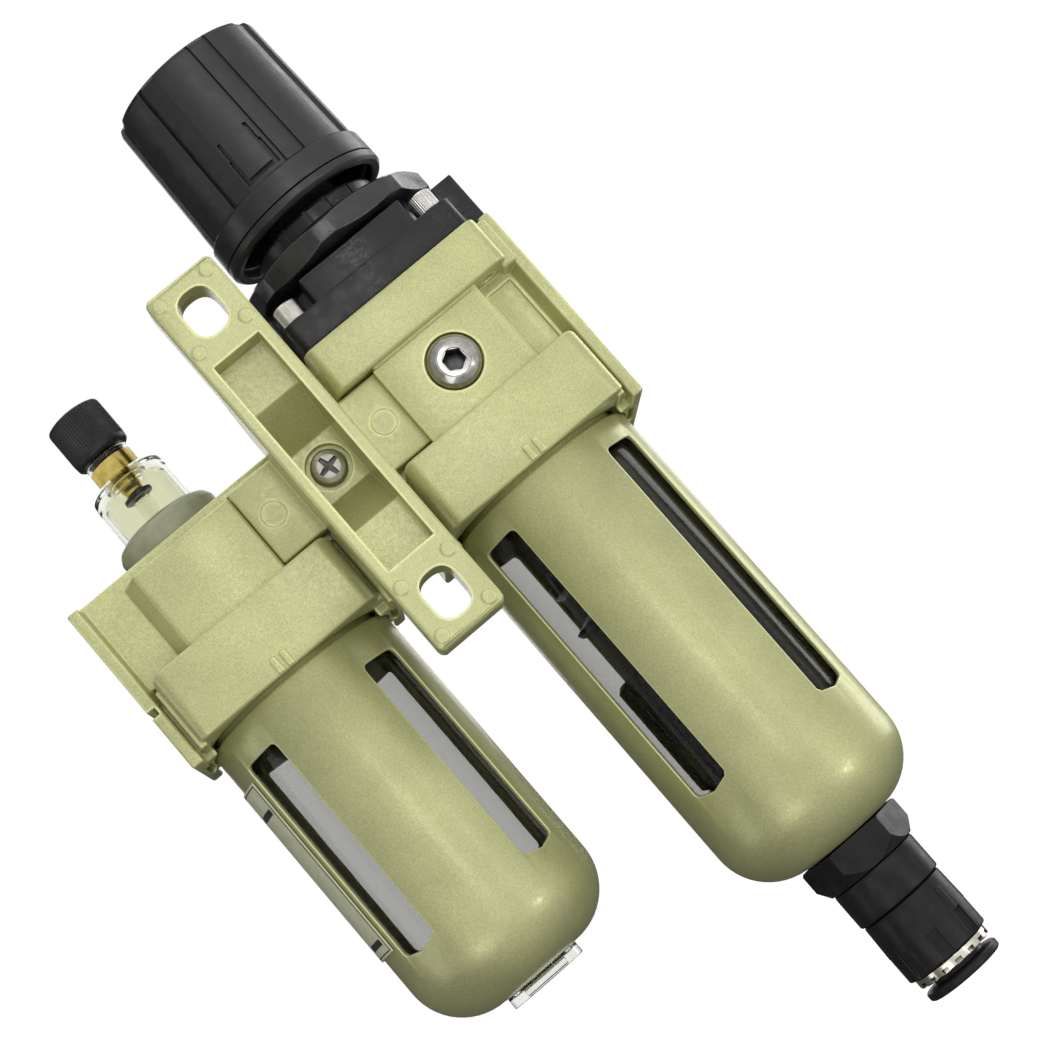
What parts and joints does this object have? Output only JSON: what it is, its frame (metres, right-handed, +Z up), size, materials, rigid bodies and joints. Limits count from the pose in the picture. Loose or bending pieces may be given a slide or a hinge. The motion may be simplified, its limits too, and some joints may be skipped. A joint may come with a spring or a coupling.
{
  "type": "filter regulator lubricator",
  "caption": "Air-line filter regulator with a black adjusting knob and guarded clear bowl, joined by a spacer to an oil lubricator with a sight dome, on a slotted wall bracket.",
  "frame": {"origin": "centre of the bracket's two slots, on the face that meets the wall", "axes": "+Z up, +Y away from the wall, X along the air line with the filter regulator at +X"},
  "size_m": [0.1166, 0.0622, 0.2453],
  "materials": {
    "casting": "champagne-green enamel on die-cast aluminium, fine grained, satin",
    "guard_steel": "the same champagne-green enamel on drawn steel sheet, satin",
    "bonnet_plastic": "black glass-filled polymer with faint flow marks, semi-gloss",
    "black_plastic": "black moulded polymer, satin",
    "plated_steel": "zinc or nickel plated steel, bright",
    "brass": "turned brass",
    "polycarbonate": "clear polycarbonate",
    "rubber": "black nitrile rubber",
    "filter_media": "sintered white polyethylene",
    "ring_plastic": "grey-green moulded polymer",
    "label_film": null
  },
  "bodies": {
    "root": {"filter_regulator_body": "casting", "bonnet": "bonnet_plastic", "panel_nut": "bonnet_plastic", "pressure_spring": "plated_steel", "diaphragm": "rubber", "valve_spring": "plated_steel", "valve_guide": "black_plastic", "deflector": "black_plastic", "filter_element": "filter_media", "baffle": "black_plastic", "gauge_plug_rear": "plated_steel", "gauge_plug_front": "plated_steel", "bracket": "casting", "bracket_screw": "plated_steel", "clamp": "casting", "clamp_screw": "plated_steel", "spacer": "casting", "spacer_seal_inlet": "rubber", "spacer_seal_outlet": "rubber", "lubricator_body": "casting", "sight_dome_ring": "ring_plastic", "sight_dome": "polycarbonate", "drip_insert": "brass", "drip_tube": "polycarbonate", "filler_plug": "plated_steel", "siphon_tube": "polycarbonate", "siphon_strainer": "brass", "bonnet_screw_1": "plated_steel", "bonnet_screw_2": "plated_steel", "bonnet_screw_3": "plated_steel", "bonnet_screw_4": "plated_steel"},
    "filter_bowl_assembly": {"filter_bowl": "polycarbonate", "filter_bowl_seal": "rubber", "filter_bowl_guard": "guard_steel", "auto_drain_housing": "black_plastic", "drain_hex_nut": "black_plastic", "fitting_adapter": "black_plastic", "fitting_body": "black_plastic", "fitting_ring": "plated_steel"},
    "float": {"drain_float": "filter_media"},
    "collar": {"release_collar": "black_plastic"},
    "lubricator_bowl_assembly": {"lubricator_bowl": "polycarbonate", "lubricator_bowl_seal": "rubber", "lubricator_bowl_guard": "guard_steel", "oil_level_label": "label_film"},
    "pressure_screw": {"adjusting_screw": "plated_steel"},
    "knob": {"pressure_knob": "black_plastic", "knob_ring": "black_plastic"},
    "spring_plate": {"spring_seat": "brass"},
    "valve": {"supply_valve": "brass", "diaphragm_plate": "plated_steel"},
    "needle_cap": {"drip_cap": "black_plastic"},
    "needle": {"drip_needle": "plated_steel"},
    "damper": {"flow_damper": "rubber"},
    "ball": {"check_ball": "plated_steel"}
  },
  "joints": [
    {"name": "knob_turn", "type": "hinge", "parent": "root", "child": "pressure_screw", "pos_m": [0.032, 0.038, 0.0534], "axis": [0, 0, 1], "range_deg": [-1440, 0]},
    {"name": "knob_lock", "type": "slide", "parent": "pressure_screw", "child": "knob", "axis": [0, 0, 1], "range_m": [-0.0025, 0]},
    {"name": "spring_seat_travel", "type": "slide", "parent": "root", "child": "spring_plate", "axis": [0, 0, 1], "range_m": [-0.00601, 0], "deforming": ["pressure_spring"]},
    {"name": "valve_travel", "type": "slide", "parent": "root", "child": "valve", "axis": [0, 0, 1], "range_m": [-0.0015, 0], "stiffness_N_per_m": 800, "springref_m": 0.002, "deforming": ["valve_spring", "diaphragm"]},
    {"name": "filter_bowl_turn", "type": "hinge", "parent": "root", "child": "filter_bowl_assembly", "pos_m": [0.032, 0.038, -0.0266], "axis": [0, 0, 1], "range_deg": [0, 45]},
    {"name": "lubricator_bowl_turn", "type": "hinge", "parent": "root", "child": "lubricator_bowl_assembly", "pos_m": [-0.032, 0.038, -0.0266], "axis": [0, 0, 1], "range_deg": [0, 45]},
    {"name": "float_rise", "type": "slide", "parent": "filter_bowl_assembly", "child": "float", "axis": [0, 0, 1], "range_m": [0, 0.004]},
    {"name": "collar_push", "type": "slide", "parent": "filter_bowl_assembly", "child": "collar", "axis": [0, 0, 1], "range_m": [0, 0.0009], "stiffness_N_per_m": 500, "springref_m": -0.001},
    {"name": "drip_adjust", "type": "hinge", "parent": "root", "child": "needle_cap", "pos_m": [-0.032, 0.038, 0.042], "axis": [0, 0, 1], "range_deg": [-540.2, 540.2]},
    {"name": "needle_travel", "type": "slide", "parent": "root", "child": "needle", "axis": [0, 0, 1], "range_m": [-0.00105, 0.00105]},
    {"name": "damper_swing", "type": "hinge", "parent": "root", "child": "damper", "pos_m": [-0.038, 0.0448, 0], "axis": [0, 0, 1], "range_deg": [-30, 0], "stiffness_Nm_per_rad": 0.002, "springref_deg": 5.73},
    {"name": "check_ball_lift", "type": "slide", "parent": "root", "child": "ball", "axis": [0, 0, 1], "range_m": [0, 0.001]}
  ],
  "couplings": [
    {"joint": "spring_seat_travel", "follows": "knob_turn", "m_per_rad": 0.00023873},
    {"joint": "drip_adjust", "follows": "needle_travel", "rad_per_m": 8976}
  ]
}
